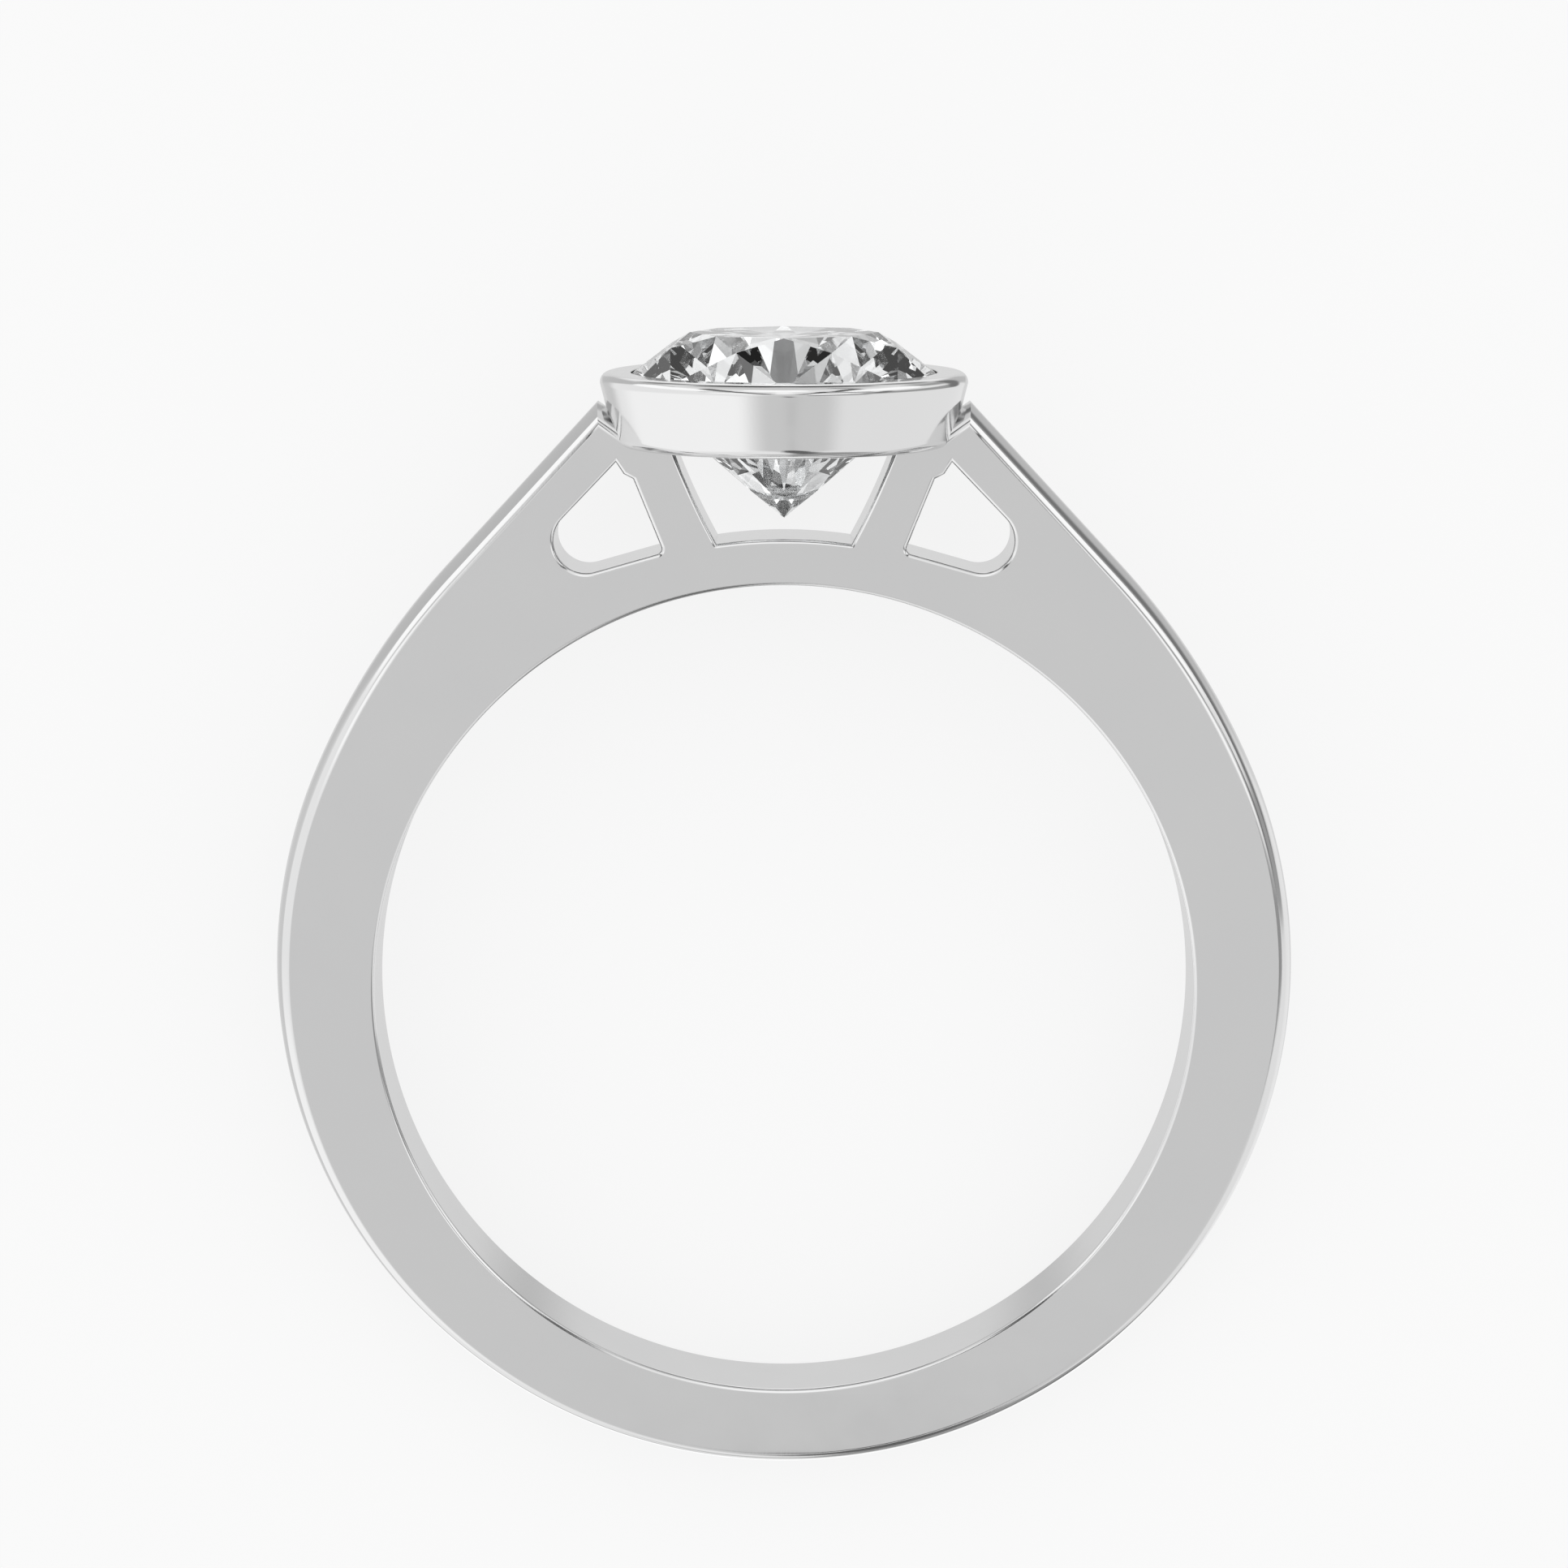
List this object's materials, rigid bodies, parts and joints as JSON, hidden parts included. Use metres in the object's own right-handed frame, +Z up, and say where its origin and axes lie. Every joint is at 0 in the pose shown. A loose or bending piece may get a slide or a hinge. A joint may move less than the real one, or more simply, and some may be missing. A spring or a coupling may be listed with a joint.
{
  "type": "bezel set solitaire ring",
  "caption": "Finger ring with a round brilliant stone in a smooth full bezel, carried by tapering open shoulders over a plain polished band, resting on its side.",
  "frame": {"origin": "on the surface it rests on, under the middle of its box", "axes": "+Z up from the surface, +Y from the bottom of the shank towards the stone, X across the finger hole"},
  "size_m": [0.0214, 0.0242, 0.0076],
  "materials": {
    "polished_metal": "polished white gold",
    "stone": "colourless faceted stone"
  },
  "bodies": {
    "root": {"band_and_bezel": "polished_metal", "stone": "stone"}
  },
  "joints": []
}
